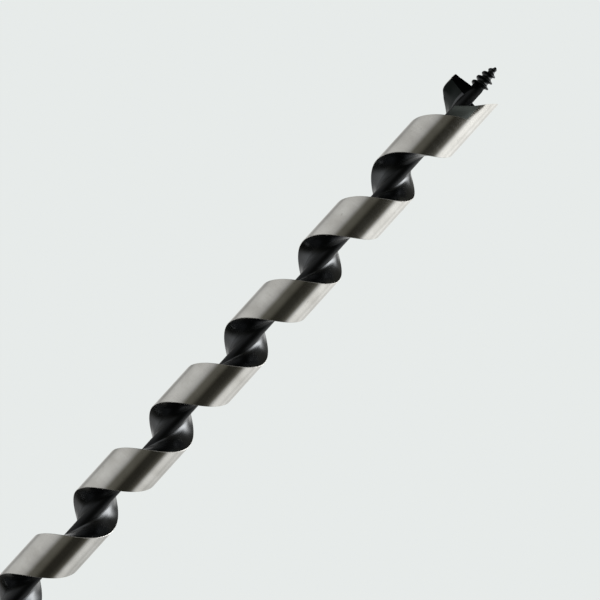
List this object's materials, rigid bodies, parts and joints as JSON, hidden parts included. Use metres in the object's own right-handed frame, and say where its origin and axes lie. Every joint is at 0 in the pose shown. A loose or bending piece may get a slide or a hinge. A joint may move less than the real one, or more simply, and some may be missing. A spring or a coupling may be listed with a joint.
{
  "type": "long wood drill bit",
  "caption": "Long solid-centre wood auger bit: lead screw, cutting lip and scribing spur on a right-hand twist, with a round shank and a hexagon drive end.",
  "frame": {"origin": "centre of the flat end of the hexagon, on the bit's axis", "axes": "+Z along the bit's axis, from the drive end to the tip of the lead screw; the cutting lip points to -X and the spur to +X"},
  "size_m": [0.012, 0.012, 0.45],
  "materials": {
    "black_oxide": "semi-gloss black oxide on tool steel",
    "ground_land": "bright ground steel, with fine grinding lines round the axis",
    "satin_hex": "satin ground steel"
  },
  "bodies": {
    "root": {"lead_screw": "black_oxide", "cutter_head": "ground_land", "cutting_lip": "black_oxide", "scribing_spur": "ground_land", "core_rod": "black_oxide", "flight_length_1": "ground_land", "flight_length_2": "ground_land", "flight_length_3": "ground_land", "flight_length_4": "ground_land", "flight_length_5": "ground_land", "shank_collar": "black_oxide", "round_shank": "black_oxide", "hex_drive": "satin_hex"}
  },
  "joints": []
}
